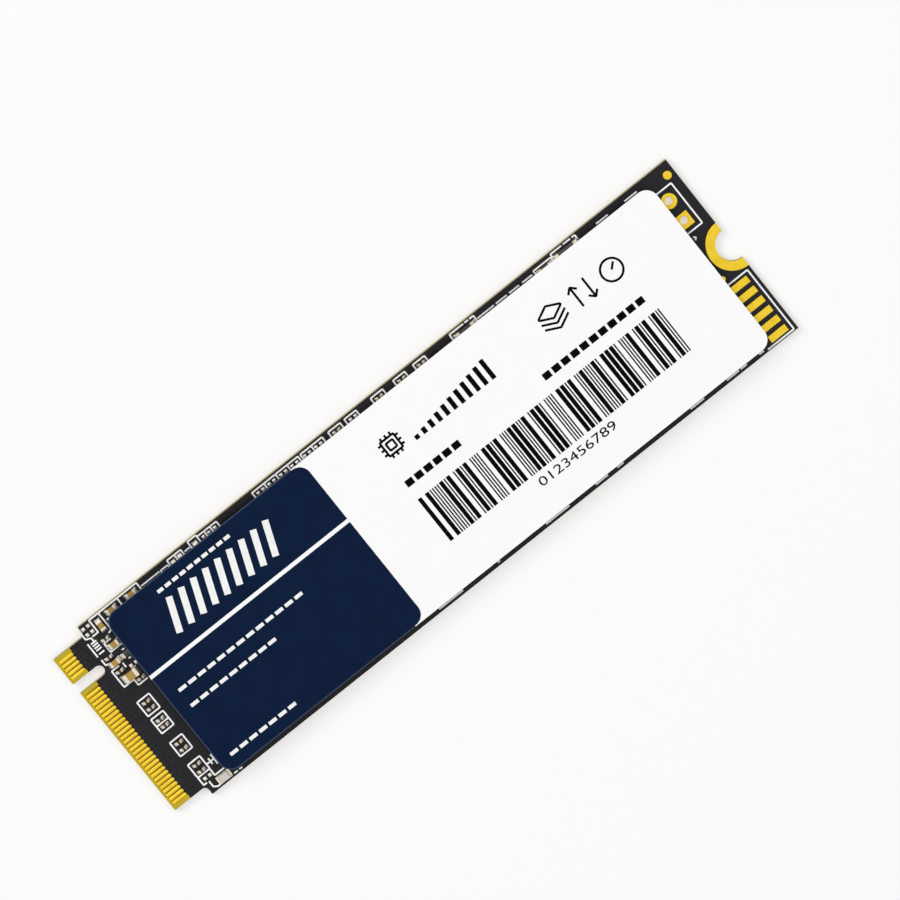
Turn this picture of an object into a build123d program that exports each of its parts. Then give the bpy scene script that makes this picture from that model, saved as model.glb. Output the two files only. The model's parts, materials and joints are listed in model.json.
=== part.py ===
from build123d import *
import os

# Solid-state drive card, 22 mm by 80 mm, with an edge connector at one end and a screw notch at the other.
# Millimetres. X runs along the card from the connector (-X) to the screw notch (+X), Y runs across it with
# the key slot on the +Y side, and Z is up. The origin is the middle of the underside of the board.

# Bare board
board_length = 80.0
board_width = 22.0
board_thickness = 0.8
copper = 0.035          # thickness of every pad and contact
tongue_length = 4.0
tongue_margin = 0.5     # bare strip outside the outermost contact
shoulder_least = 1.0    # least step from the side of the tongue to the side of the board
shoulder_round = 0.5    # hollow corner between tongue and shoulder
bevel_length = 0.25     # lead-in along the tongue
bevel_height = 0.12     # lead-in through the thickness, on each face

# Edge contacts: odd pins on the upper face, even pins on the lower, half a spacing apart
contact_spacing = 0.5
contact_width = 0.35
top_first_pin = 1
bottom_first_pin = 2
key_pin_count = 8           # pin places that the key slot takes up
side_pin_count = 9          # pin places between the key slot and the side of the tongue
contact_reach_top = 2.0     # from the tip to the rounded inner end
contact_reach_bottom = 2.5
contact_end_sides = 12      # a rounded inner end is half of a polygon, to keep the facets few
mask_gap = 0.1              # from the inner ends to the start of the black coating
key_width = 1.2
key_depth = 3.5

# Screw notch with its half-ring pads
notch_radius = 1.75
ring_radius = 2.75

# Far end: two plated holes, as many debug pads as fit beside the notch, and two round dots
hole_radius = 0.45
plating = 0.035
header_spacing = 2.54
header_inset = 2.35         # hole line from the end of the board
header_side_inset = 3.54    # first hole from the key-side edge
round_pad_radius = 0.83
square_pad_side = 1.56
debug_pad_length = 2.15
debug_pad_width = 0.76
debug_pad_spacing = 1.27
debug_pad_inset = 0.9       # pad end from the end of the board
debug_side_inset = 0.84     # first pad from the plain-side edge
fiducial_radius = 0.45
fiducial_place = (0.86, 1.35)   # in from the end, in from the key-side edge
test_dot_radius = 0.3
test_dot_place = (2.97, -2.25)  # in from the end, off the middle line

# Chip parts: length, width and height, then the length of each metal end
bulk_capacitor = (2.9, 1.45, 1.0, 0.5)
large_capacitor = (1.65, 0.88, 0.85, 0.4)
small_capacitor = (1.12, 0.6, 0.55, 0.26)
tiny_capacitor = (0.6, 0.32, 0.3, 0.16)
chip_resistor = (1.0, 0.52, 0.35, 0.22)
sense_resistor = (2.4, 1.3, 0.55, 0.5)
cap_step = 0.015            # metal ends stand this far outside the ceramic
end_bevel = 0.05            # bevel around the metal ends
solder_climb = 0.6          # solder climbs this share of a part's height
solder_reach = 0.2          # pad that shows beyond each end of a part

# Places of chip parts: distance behind the shoulder, distance in from an edge or off the middle line, turn
key_side_places = {
    "bulk_capacitor": [(62.45, 1.25, 0)],
    "large_capacitor": [(1.15, 7.12, 0), (59.65, 1.14, 0)],
    "small_capacitor": [
        (3.78, 0.67, 0), (6.33, 0.67, 0), (1.97, 1.23, 90),
        (1.78, 3.55, 0), (0.7, 5.12, 0), (14.6, 1.22, 90),
    ],
    "tiny_capacitor": [
        (1.44, 2.64, 0), (0.54, 4.36, 0), (0.54, 6.16, 0), (1.81, 8.04, 0),
        (32.88, 0.75, 0), (38.37, 0.75, 0), (41.27, 0.75, 0), (43.83, 0.75, 0),
    ],
    "resistor": [(2.22, 5.15, 0), (11.71, 1.3, 90), (12.6, 1.2, 90)],
    "sense_resistor": [(49.44, 1.2, 0)],
}
middle_places = {
    "small_capacitor": [
        (9.1, 4.0, 90), (9.1, 1.8, 90), (9.1, -2.2, 90), (9.1, -4.4, 90),
        (24.6, 2.0, 90), (24.6, -1.0, 90), (47.4, 5.0, 90), (47.4, -5.0, 90),
    ],
}
plain_side_places = {
    "large_capacitor": [(4.6, 1.9, 0), (7.6, 1.9, 0)],
    "resistor": [(12.0, 2.6, 0), (14.4, 2.6, 0)],
}

# Capacitors on the four data lanes, two to a lane, in line behind the contacts
lane_back = 0.65
lane_insets = (3.02, 5.93, 9.0, 11.28)      # in from the plain-side edge
lane_spacing = 0.8

# Pads left bare: distance behind the shoulder and in from one edge of each pad or pair
bare_pad_side = 0.38
bare_pair_spacing = 0.62
key_side_pairs = [
    (0.61, 0.5), (0.61, 1.21), (2.12, 6.45), (23.09, 0.75), (24.52, 0.75), (26.02, 0.75), (27.48, 0.75),
    (29.11, 0.75), (30.55, 0.75), (35.02, 0.75),
]
plain_side_pairs = [(0.72, 1.72)]
key_side_single_pads = [(15.67, 0.75), (16.4, 0.75), (17.16, 0.75)]

# Activity light beside the connector
led_length = 1.65
led_width = 0.82
led_base_height = 0.25
led_lens_height = 0.4
led_lens_length = 1.1
led_lens_draft = 0.08
led_terminal = 0.25
led_place = (2.04, 0.73)    # behind the shoulder, in from the plain-side edge

# Memory, controller and power chips under the label, all soldered to the upper face.
# Places are a distance behind the shoulder and one off the middle line.
package_height = 1.2        # top of the large packages above the board
ball_height = 0.25
ball_radius = 0.2
ball_side_count = 6         # the balls are plain six-sided posts, because the label hides them
marker_radius = 0.4
marker_depth = 0.05
marker_inset = 1.0
controller_side = 11.0
controller_ball_count = 12
controller_ball_spacing = 0.8
controller_place = (16.2, -1.0)
flash_length = 13.0
flash_width = 11.5
flash_ball_columns = 11
flash_ball_rows = 9
flash_ball_spacing = 1.0
flash_near_back = 40.0      # first package behind the shoulder
flash_far_inset = 11.0      # second package in from the end of the board
flash_offset = -0.4         # both packages off the middle line
power_chip_side = 3.0
power_chip_height = 0.75
power_land_length = 0.4
power_land_width = 0.25
power_land_height = 0.05
power_land_spacing = 0.5
power_lands_per_side = 4
power_slug_side = 1.6
power_chip_place = (5.8, -3.8)
inductor_length = 2.5
inductor_width = 2.0
inductor_height = 1.0
inductor_terminal = 0.6
inductor_terminal_height = 0.05
inductor_bevel = 0.2
inductor_places = [(5.8, 7.0), (5.8, 3.8), (5.8, 0.6)]
crystal_length = 2.5
crystal_width = 2.0
crystal_base_height = 0.3
crystal_lid_height = 0.25
crystal_rim = 0.15
crystal_place = (25.6, 6.0)

# Label across the tops of the packages: a film with layers of ink on it
film_thickness = 0.08
ink_thickness = 0.02
label_near_inset = 2.55     # from the shoulder
label_far_inset = 2.95      # from the end of the board
label_side_inset = 0.72
label_corner = 1.4
panel_length = 25.65
panel_margin = 0.1
stripe_offset = 2.55        # middle of the white stripe from the middle of the label
stripe_width = 0.43
barcode_near_gap = 6.75     # from the blue field
barcode_far_gap = 7.0       # from the end of the label
barcode_offset = -2.95
barcode_height = 5.45
bar_group_count = 13
bars_per_group = 5          # two of them wide, and one wide space between them
wide_modules = 3            # a wide bar or space against a narrow one

# Places and levels worked out from the sizes above
tip_x = -board_length / 2
shoulder_x = tip_x + tongue_length
end_x = board_length / 2
key_side_y = board_width / 2
plain_side_y = -board_width / 2
pin_step = contact_spacing / 2
outer_contact_limit = key_side_y - shoulder_least - tongue_margin - contact_width / 2
last_pin = top_first_pin + 2 * int(outer_contact_limit / pin_step)
middle_pin = (top_first_pin + last_pin) / 2
tongue_width = (last_pin - top_first_pin) * pin_step + contact_width + 2 * tongue_margin
last_key_pin = last_pin - side_pin_count
missing_pins = range(last_key_pin - key_pin_count + 1, last_key_pin + 1)
debug_pad_room = board_width / 2 - debug_side_inset - ring_radius - debug_pad_width / 2
debug_pad_count = 1 + int(debug_pad_room / debug_pad_spacing)
lane_rows = [inset + side * lane_spacing / 2 for inset in lane_insets for side in (1, -1)]
plain_side_places["tiny_capacitor"] = [(lane_back, inset, 0) for inset in lane_rows]
flash_far_back = board_length - tongue_length - flash_far_inset
flash_places = {
    "flash_memory_a": (flash_near_back, flash_offset),
    "flash_memory_b": (flash_far_back, flash_offset),
}
label_near_x = shoulder_x + label_near_inset
label_far_x = end_x - label_far_inset
label_width = board_width - 2 * label_side_inset
label_bottom = board_thickness + package_height
film_top = label_bottom + film_thickness
label_top = film_top + ink_thickness


def pin_y(pin):
    """Distance of a contact's centre line from the middle of the card."""
    return (pin - middle_pin) * pin_step


def on_board(back, y, turn=0):
    """Location on the upper face, from a distance behind the shoulder and one off the middle line."""
    return Location((shoulder_x + back, y, board_thickness), (0, 0, turn))


def from_key_side(back, inset, turn=0):
    return on_board(back, key_side_y - inset, turn)


def from_plain_side(back, inset, turn=0):
    return on_board(back, plain_side_y + inset, turn)


def from_end(inset, y):
    return Pos(end_x - inset, y)


def slab(sketch, bottom, top):
    """Prism of a flat shape between two levels."""
    return extrude(Pos(0, 0, bottom) * sketch, amount=top - bottom, dir=(0, 0, 1))


def block(length, width, bottom, top):
    return slab(Rectangle(length, width), bottom, top)


def wedge(points, width):
    """Prism across the card of a profile that is given in X and Z."""
    profile = make_face(Polyline(*points, close=True))
    return extrude(Plane.XZ * profile, amount=width / 2, both=True)


def write(name, *shapes):
    """Save one node, as a single solid or as a group of separate solids."""
    solids = [solid for shape in shapes for solid in shape.solids()]
    export_step(solids[0] if len(solids) == 1 else Compound(solids), f"parts/{name}.step")


header_y = [key_side_y - header_side_inset - row * header_spacing for row in range(2)]
round_pad_sketch = from_end(header_inset, header_y[0]) * Circle(round_pad_radius)
square_pad_sketch = from_end(header_inset, header_y[1]) * Rectangle(square_pad_side, square_pad_side)


def header_circles(radius):
    return [from_end(header_inset, y) * Circle(radius) for y in header_y]


def board_outline():
    half_tongue = tongue_width / 2
    corners = [(tip_x, -half_tongue), (shoulder_x, -half_tongue), (shoulder_x, plain_side_y)]
    corners += [(end_x, plain_side_y), (end_x, key_side_y), (shoulder_x, key_side_y)]
    corners += [(shoulder_x, half_tongue), (tip_x, half_tongue)]
    outline = make_face(Polyline(*corners, close=True))
    shoulder_corners = outline.vertices().group_by(Axis.X)[1].sort_by(Axis.Y)
    outline = fillet(shoulder_corners[1:3], shoulder_round)
    key_y = pin_y((missing_pins[0] + missing_pins[-1]) / 2)
    outline -= Pos(tip_x, key_y) * SlotCenterToCenter(2 * key_depth - key_width, key_width)
    return outline - Pos(end_x, 0) * Circle(notch_radius)


def half_ring():
    """Pad around the screw notch, cut off at the end of the board."""
    ring = Pos(end_x, 0) * (Circle(ring_radius) - Circle(notch_radius))
    return ring & from_end(ring_radius / 2, 0) * Rectangle(ring_radius, 2 * ring_radius)


def circuit_board():
    sketch = board_outline()
    for circle in header_circles(hole_radius + plating):
        sketch -= circle
    board = slab(sketch, 0, board_thickness)
    laminate_low = copper
    laminate_high = board_thickness - copper
    bare_top = contact_reach_top + mask_gap
    bare_bottom = contact_reach_bottom + mask_gap
    board -= Pos(tip_x + bare_top / 2, 0) * block(bare_top, tongue_width, laminate_high, board_thickness)
    board -= Pos(tip_x + bare_bottom / 2, 0) * block(bare_bottom, tongue_width, 0, laminate_low)
    for face, inward in ((laminate_high, -bevel_height), (laminate_low, bevel_height)):
        lead_in = [(tip_x, face), (tip_x + bevel_length, face), (tip_x, face + inward)]
        board -= wedge(lead_in, tongue_width)
    for pad in (half_ring(), round_pad_sketch, square_pad_sketch):
        board -= slab(pad, 0, copper)
    return board


def edge_contacts(first_pin, reach, bottom):
    """Gold fingers on one face: every second pin, straight from the bevel to a rounded inner end."""
    radius = contact_width / 2
    straight = reach - bevel_length - radius
    finger = Pos(bevel_length + straight / 2, 0) * Rectangle(straight, contact_width)
    finger += Pos(reach - radius, 0) * RegularPolygon(radius, contact_end_sides)
    pins = [pin for pin in range(first_pin, last_pin + 1, 2) if pin not in missing_pins]
    return [Pos(tip_x, pin_y(pin)) * slab(finger, bottom, bottom + copper) for pin in pins]


def plated_hole(pad, y):
    """Barrel through the board with a pad standing on its upper face and one let into the lower."""
    hole = from_end(header_inset, y) * Circle(hole_radius)
    barrel = from_end(header_inset, y) * Circle(hole_radius + plating) - hole
    flange = pad - hole
    upper = slab(flange, board_thickness, board_thickness + copper)
    return slab(barrel, 0, board_thickness) + slab(flange, 0, copper) + upper


def debug_pads():
    shape = Rectangle(debug_pad_length, debug_pad_width)
    middle = debug_pad_inset + debug_pad_length / 2
    first_y = plain_side_y + debug_side_inset
    rows = [first_y + row * debug_pad_spacing for row in range(debug_pad_count)]
    return [slab(from_end(middle, y) * shape, board_thickness, board_thickness + copper) for y in rows]


def dots():
    fiducial_end, fiducial_side = fiducial_place
    fiducial = from_end(fiducial_end, key_side_y - fiducial_side) * Circle(fiducial_radius)
    test_dot = from_end(*test_dot_place) * Circle(test_dot_radius)
    return [slab(dot, board_thickness, board_thickness + copper) for dot in (fiducial, test_dot)]


def chip_part(size):
    """Ceramic body, two metal ends, two pads and two solder joints, standing at the origin."""
    length, width, height, metal = size
    body_length = length - 2 * metal
    body = block(body_length, width - 2 * cap_step, copper + cap_step, copper + height - cap_step)
    end = Pos((length - metal) / 2, 0) * block(metal, width, copper, copper + height)
    outer_face = end.faces().sort_by(Axis.X)[-1]
    end = chamfer(outer_face.edges(), end_bevel)
    pad_length = metal + solder_reach
    pad = Pos((body_length + pad_length) / 2, 0) * block(pad_length, width, 0, copper)
    profile = [(length / 2, copper), (length / 2 + solder_reach, copper)]
    profile += [(length / 2, copper + solder_climb * height)]
    joint = wedge(profile, width - 2 * end_bevel)
    turned = Rot(0, 0, 180)
    return {
        "bodies": [body],
        "terminals": [end, turned * end],
        "pads": [pad, turned * pad],
        "joints": [joint, turned * joint],
    }


def place_parts(name, size):
    """Copies of one chip part at its places, with like pieces gathered under one name."""
    spots = [from_key_side(*place) for place in key_side_places.get(name, [])]
    spots += [on_board(*place) for place in middle_places.get(name, [])]
    spots += [from_plain_side(*place) for place in plain_side_places.get(name, [])]
    gathered = {}
    for kind, shapes in chip_part(size).items():
        gathered[kind] = [spot * shape for spot in spots for shape in shapes]
    return gathered


def bare_pads():
    pad = block(bare_pad_side, bare_pad_side, 0, copper)
    spots = [from_key_side(*place) for place in key_side_single_pads]
    pairs = [from_key_side(*place) for place in key_side_pairs]
    pairs += [from_plain_side(*place) for place in plain_side_pairs]
    for offset in (-bare_pair_spacing / 2, bare_pair_spacing / 2):
        spots += [pair * Pos(offset, 0) for pair in pairs]
    return [spot * pad for spot in spots]


def led_pieces():
    """Base with a drafted lens on it, and a metal end at each side of the lens."""
    here = from_plain_side(*led_place)
    base = here * block(led_length - 2 * led_terminal, led_width, 0, led_base_height)
    foot = Rectangle(led_lens_length, led_width)
    crown = Rectangle(led_lens_length - 2 * led_lens_draft, led_width - 2 * led_lens_draft)
    lens_top = led_base_height + led_lens_height
    lens = here * loft([Pos(0, 0, led_base_height) * foot, Pos(0, 0, lens_top) * crown])
    end = block(led_terminal, led_width, 0, led_base_height)
    offset = (led_length - led_terminal) / 2
    return base, lens, [here * Pos(side, 0) * end for side in (-offset, offset)]


def package(length, width, place):
    """Moulded chip on its solder balls, with a round dimple at its first corner."""
    body = block(length, width, ball_height, package_height)
    corner = Pos(marker_inset - length / 2, width / 2 - marker_inset)
    body -= slab(corner * Circle(marker_radius), package_height - marker_depth, package_height)
    return on_board(*place) * body


def centred_row(count, spacing):
    """Evenly spaced positions with their middle at zero."""
    return [(index - (count - 1) / 2) * spacing for index in range(count)]


def solder_balls(columns, rows, spacing, place):
    """Outer ring of the ball grid: the inner rows can't be seen past it."""
    ball = slab(RegularPolygon(ball_radius, ball_side_count), 0, ball_height)
    across = centred_row(columns, spacing)
    along = centred_row(rows, spacing)
    ends_x = (across[0], across[-1])
    ends_y = (along[0], along[-1])
    spots = [(x, y) for x in across for y in along if x in ends_x or y in ends_y]
    return [on_board(*place) * Pos(x, y) * ball for x, y in spots]


def power_chip_lands():
    land = block(power_land_length, power_land_width, 0, power_land_height)
    edge = (power_chip_side - power_land_length) / 2
    steps = centred_row(power_lands_per_side, power_land_spacing)
    lands = [Rot(0, 0, turn) * Pos(edge, step) * land for turn in (0, 90, 180, 270) for step in steps]
    lands.append(block(power_slug_side, power_slug_side, 0, power_land_height))
    return [on_board(*power_chip_place) * shape for shape in lands]


def inductor_pieces():
    top = inductor_terminal_height + inductor_height
    body = block(inductor_length, inductor_width, inductor_terminal_height, top)
    body = chamfer(body.edges().filter_by(Axis.Z), inductor_bevel)
    foot = block(inductor_terminal, inductor_width - 2 * inductor_bevel, 0, inductor_terminal_height)
    offset = (inductor_length - inductor_terminal) / 2
    spots = [on_board(*place) for place in inductor_places]
    feet = [spot * Pos(side, 0) * foot for spot in spots for side in (-offset, offset)]
    return [spot * body for spot in spots], feet


def crystal_pieces():
    here = on_board(*crystal_place)
    lid_length = crystal_length - 2 * crystal_rim
    lid_width = crystal_width - 2 * crystal_rim
    lid_top = crystal_base_height + crystal_lid_height
    base = here * block(crystal_length, crystal_width, 0, crystal_base_height)
    return base, here * block(lid_length, lid_width, crystal_base_height, lid_top)


def blue_panels():
    """Two fields of blue with a white stripe left between them, rounded like the label."""
    near_x = label_near_x + panel_margin
    length = panel_length - panel_margin
    field = RectangleRounded(length, label_width - 2 * panel_margin, label_corner - panel_margin)
    field = Pos(near_x + length / 2, 0) * field
    stripe = Pos(near_x + length / 2, stripe_offset) * Rectangle(length, stripe_width)
    return field - stripe


def barcode():
    """Groups of five bars, with two wide bars and one wide space in each, in a fixed order."""
    edge = label_near_x + panel_length + barcode_near_gap
    room = label_far_x - barcode_far_gap - edge
    spaces_per_group = bars_per_group - 1
    group_modules = 2 * bars_per_group - 3 + 3 * wide_modules
    module = room / (bar_group_count * group_modules - 1)
    bars = []
    for group in range(bar_group_count):
        first_wide = group % bars_per_group
        shift = 1 + (group + group // bars_per_group) % spaces_per_group
        second_wide = (first_wide + shift) % bars_per_group
        wide_space = 3 * group % spaces_per_group
        for index in range(bars_per_group):
            width = module * (wide_modules if index in (first_wide, second_wide) else 1)
            bars.append(Pos(edge + width / 2, barcode_offset) * Rectangle(width, barcode_height))
            edge += width + module * (wide_modules if index == wide_space else 1)
    return bars


def label_sheet():
    length = label_far_x - label_near_x
    outline = Pos((label_near_x + label_far_x) / 2, 0) * RectangleRounded(length, label_width, label_corner)
    return slab(outline, label_bottom, film_top)


os.makedirs("parts", exist_ok=True)

write("circuit_board", circuit_board())
write("edge_contacts_top", *edge_contacts(top_first_pin, contact_reach_top, board_thickness - copper))
write("edge_contacts_bottom", *edge_contacts(bottom_first_pin, contact_reach_bottom, 0))
write("mounting_pad_top", slab(half_ring(), board_thickness, board_thickness + copper))
write("mounting_pad_bottom", slab(half_ring(), 0, copper))
write("header_pad_round", plated_hole(round_pad_sketch, header_y[0]))
write("header_pad_square", plated_hole(square_pad_sketch, header_y[1]))
write("debug_pads", *debug_pads())
write("round_dots", *dots())

chip_sizes = {
    "bulk_capacitor": bulk_capacitor,
    "large_capacitor": large_capacitor,
    "small_capacitor": small_capacitor,
    "tiny_capacitor": tiny_capacitor,
    "resistor": chip_resistor,
    "sense_resistor": sense_resistor,
}
chip_parts = {name: place_parts(name, size) for name, size in chip_sizes.items()}
for name, pieces in chip_parts.items():
    write(f"{name}_bodies", *pieces["bodies"])
    write(f"{name}_terminals", *pieces["terminals"])
write("solder_pads", *[pad for pieces in chip_parts.values() for pad in pieces["pads"]], *bare_pads())
write("solder_joints", *[joint for pieces in chip_parts.values() for joint in pieces["joints"]])

led_base, led_lens, led_ends = led_pieces()
write("activity_led_base", led_base)
write("activity_led_lens", led_lens)
write("activity_led_terminals", *led_ends)

write("controller_chip", package(controller_side, controller_side, controller_place))
controller_grid = (controller_ball_count, controller_ball_count, controller_ball_spacing)
write("controller_solder_balls", *solder_balls(*controller_grid, controller_place))
flash_grid = (flash_ball_columns, flash_ball_rows, flash_ball_spacing)
flash_balls = []
for name, place in flash_places.items():
    write(name, package(flash_length, flash_width, place))
    flash_balls += solder_balls(*flash_grid, place)
write("flash_solder_balls", *flash_balls)

power_top = power_land_height + power_chip_height
power_chip = block(power_chip_side, power_chip_side, power_land_height, power_top)
write("power_chip", on_board(*power_chip_place) * power_chip)
write("power_chip_lands", *power_chip_lands())
inductor_bodies, inductor_feet = inductor_pieces()
write("inductor_bodies", *inductor_bodies)
write("inductor_terminals", *inductor_feet)
crystal_base, crystal_lid = crystal_pieces()
write("clock_crystal_base", crystal_base)
write("clock_crystal_lid", crystal_lid)

write("label_sheet", label_sheet())
write("label_blue_panels", slab(blue_panels(), film_top, label_top))
write("label_barcode", *[slab(bar, film_top, label_top) for bar in barcode()])
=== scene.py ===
# %% [markdown]
# # A solid-state drive card
# The card is a thin circuit board with gold contacts at one end and a screw notch at the other. Chips lie
# under a printed label, and small parts stand along one edge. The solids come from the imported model, at
# their true size and place. This lesson gives every surface its finish, and adds what is too thin to be a
# solid: the white outlines printed on the board, the rounded solder, the covered copper tracks and the
# ink on the label.

# %% Load the model
import bmesh
import bpy
import json
import math
from mathutils import Matrix, Vector


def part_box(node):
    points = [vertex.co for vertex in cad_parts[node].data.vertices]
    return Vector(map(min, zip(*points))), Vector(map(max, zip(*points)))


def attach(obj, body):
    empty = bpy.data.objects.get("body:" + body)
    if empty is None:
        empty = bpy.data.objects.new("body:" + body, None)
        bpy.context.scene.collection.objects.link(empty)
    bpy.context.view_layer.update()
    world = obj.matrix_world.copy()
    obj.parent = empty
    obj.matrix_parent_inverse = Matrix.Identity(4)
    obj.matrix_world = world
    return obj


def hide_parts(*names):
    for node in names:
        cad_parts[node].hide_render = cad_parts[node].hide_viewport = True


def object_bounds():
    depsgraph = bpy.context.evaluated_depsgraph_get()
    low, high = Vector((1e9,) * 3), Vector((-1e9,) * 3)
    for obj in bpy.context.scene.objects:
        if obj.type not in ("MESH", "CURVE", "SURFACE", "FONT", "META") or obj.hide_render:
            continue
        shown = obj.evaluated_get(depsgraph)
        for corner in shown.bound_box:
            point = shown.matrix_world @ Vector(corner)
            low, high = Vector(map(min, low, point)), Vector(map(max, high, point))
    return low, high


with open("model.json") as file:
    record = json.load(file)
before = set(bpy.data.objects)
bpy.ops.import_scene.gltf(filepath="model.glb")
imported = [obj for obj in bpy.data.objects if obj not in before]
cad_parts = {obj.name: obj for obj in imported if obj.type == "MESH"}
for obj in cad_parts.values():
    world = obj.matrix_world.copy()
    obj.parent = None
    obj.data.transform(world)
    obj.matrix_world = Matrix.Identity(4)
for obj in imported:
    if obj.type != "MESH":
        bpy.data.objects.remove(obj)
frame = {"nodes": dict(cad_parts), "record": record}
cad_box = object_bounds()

nodes = frame["nodes"]
scene = bpy.context.scene
scene.view_settings.view_transform = "Standard"
MM = 0.001
card_size = [round(side / MM, 3) for side in cad_box[1] - cad_box[0]]
print("nodes:", len(nodes), "card size in mm:", card_size)

# %% [markdown]
# ## Where things are
# Most places follow from the boxes of a few nodes: the board gives the two long edges and the tip, the
# label gives the height of its print. They could be typed in as numbers, but a scene that measures its
# frame keeps fitting when a size of the card changes.

# %% Measure the frame
board_low, board_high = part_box("circuit_board")
fingers_low, fingers_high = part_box("edge_contacts_top")
lower_fingers_low, lower_fingers_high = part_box("edge_contacts_bottom")
blue_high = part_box("label_blue_panels")[1]
board_top = board_high.z
film_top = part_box("label_sheet")[1].z
ink_top = blue_high.z
heights = {"board": board_top, "film": film_top, "ink": ink_top}
print("heights in mm:", {name: round(height / MM, 3) for name, height in heights.items()})

# %% [markdown]
# ## Camera
# The photograph looks almost straight down on the card, from a point that leans ten degrees to the side
# of the key slot, with a long lens. A constraint could aim the camera, but the slant of the card in the
# picture would need another turn on top of it. So three directions make the camera's axes, backwards,
# right and up, and turning right and up about the line of sight gives the slant.

# %% Camera axes
lean_to_key_side = math.radians(9.56)
lean_to_far_end = math.radians(0.6)
picture_turn = math.radians(38.62)

backwards = Vector((math.sin(lean_to_far_end), math.sin(lean_to_key_side), 0.0))
backwards.z = math.sqrt(1.0 - backwards.length_squared)
level_right = Vector((0.0, 1.0, 0.0)).cross(backwards).normalized()
level_up = backwards.cross(level_right)
camera_right = math.cos(picture_turn) * level_right - math.sin(picture_turn) * level_up
camera_up = math.sin(picture_turn) * level_right + math.cos(picture_turn) * level_up
print("backwards:", [round(part, 3) for part in backwards])

# %% Set the camera
view_target = Vector((4.64, 1.487, 0.8)) * MM
camera_distance = 1.0
farthest_seen = 10.0
field_width = 91.14 * MM
sensor_width_mm = 36.0


def new_object(name, data):
    made = bpy.data.objects.new(name, data)
    scene.collection.objects.link(made)
    return made


camera_data = bpy.data.cameras.new("camera")
camera_data.sensor_width = sensor_width_mm
camera_data.lens = sensor_width_mm * camera_distance / field_width
camera_data.clip_end = farthest_seen
camera = new_object("camera", camera_data)
turn = Matrix((camera_right, camera_up, backwards)).transposed().to_4x4()
camera.matrix_world = Matrix.Translation(view_target + backwards * camera_distance) @ turn
scene.camera = camera
print("lens in mm:", round(camera_data.lens, 1))

# %% [markdown]
# ## One helper for every node tree
# Materials and Geometry Nodes are both trees of nodes. The first helper makes a node, sets it up and
# connects it in one call: a value goes into the socket itself, and a socket of another node becomes a
# link. The nodes that come back most often get a short helper of their own.

# %% Node helpers
def add(tree, kind, inputs=None, **settings):
    node = tree.nodes.new(kind)
    for setting, value in settings.items():
        setattr(node, setting, value)
    for socket, value in (inputs or {}).items():
        if isinstance(value, bpy.types.NodeSocket):
            tree.links.new(value, node.inputs[socket])
        else:
            node.inputs[socket].default_value = value
    return node


def math_node(tree, operation, first, second=0.0):
    return add(tree, "ShaderNodeMath", {0: first, 1: second}, operation=operation).outputs[0]


def map_range(tree, value, low=0.0, high=1.0, to_low=0.0, to_high=1.0):
    """Value moved from one range into another, and held inside it."""
    inputs = {0: value, 1: low, 2: high, 3: to_low, 4: to_high}
    return add(tree, "ShaderNodeMapRange", inputs).outputs[0]


def split_vector(tree, vector):
    return add(tree, "ShaderNodeSeparateXYZ", {0: vector}).outputs


def mix_colors(tree, factor, first, second):
    """A Mix node's sockets for colours come after those for numbers and for vectors."""
    return add(tree, "ShaderNodeMix", {0: factor, 6: first, 7: second}, data_type="RGBA").outputs[2]


print("node helpers ready")

# %% [markdown]
# ## Light and floor
# A product photograph has soft light. A picture of a room could give it, but a few nodes do so without
# any file, and each level in them is a value to change. Most of the light comes from a bright patch of
# sky straight above, which reaches down into holes and slots, and two large lamps give the rest. Metal
# mirrors a plain sky instead, dimmer towards the plain side of the card, as if a dark screen stood there,
# so that every rounded piece has a light and a dark side. A white surface that faces up gets a total of
# about one, and a colour renders as it is written.

# %% Sky
sky_low = 0.1               # level of the sky near the horizon
sky_high = 1.9              # and straight above
sky_focus = 4.0             # how closely the bright patch gathers overhead
dim_side = 0.3              # level of the plain side's sky in a mirror, against the rest
dim_range = (-0.9, -0.15)   # directions across the card between which it goes from dim to plain


def mirror_rays(tree, path):
    return math_node(tree, "MAXIMUM", path["Is Glossy Ray"], path["Is Transmission Ray"])


def make_world():
    world = bpy.data.worlds.new("studio")
    world.use_nodes = True
    tree = world.node_tree
    path = add(tree, "ShaderNodeLightPath").outputs
    parts = split_vector(tree, add(tree, "ShaderNodeTexCoord").outputs["Generated"])
    overhead = math_node(tree, "POWER", math_node(tree, "ABSOLUTE", parts[2]), sky_focus)
    light = map_range(tree, overhead, to_low=sky_low, to_high=sky_high)
    shade = map_range(tree, parts[1], *dim_range, to_low=dim_side)
    lit = map_range(tree, mirror_rays(tree, path), to_low=light, to_high=shade)
    strength = map_range(tree, path["Is Camera Ray"], to_low=lit)
    background = tree.nodes["Background"]
    background.inputs["Color"].default_value = (1.0, 1.0, 1.0, 1.0)
    tree.links.new(strength, background.inputs["Strength"])
    scene.world = world


make_world()
print("world:", scene.world.name)

# %% Lamps
lamp_size = 0.5
lamps = {"key_lamp": ((-0.35, 0.75, 0.75), 0.26), "fill_lamp": ((0.7, -0.45, 0.6), 0.05)}


def make_lamp(name, place, level):
    """Square lamp aimed at the card, whose power gives that level on a surface that faces up."""
    place = Vector(place)
    data = bpy.data.lights.new(name, "AREA")
    data.size = lamp_size
    slant = place.z / place.length
    data.energy = level * math.pi ** 2 * place.length_squared / slant
    aim = (-place).to_track_quat("-Z", "Y").to_matrix().to_4x4()
    new_object(name, data).matrix_world = Matrix.Translation(place) @ aim
    return data.energy


for lamp_name, (lamp_place, lamp_level) in lamps.items():
    print(lamp_name, "W:", round(make_lamp(lamp_name, lamp_place, lamp_level), 2))

# %% [markdown]
# The card lies on white paper. A plane that only catches shadows would be missing in holes and in
# mirrors, so the floor is a real one. It is pale, and where it is seen, part of it is plain white, so
# that holes show it as a light spot and its shadow stays soft. It is clear from below, and to rays that
# start right on it, so that the underside is lit and can be looked at as well.

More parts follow.
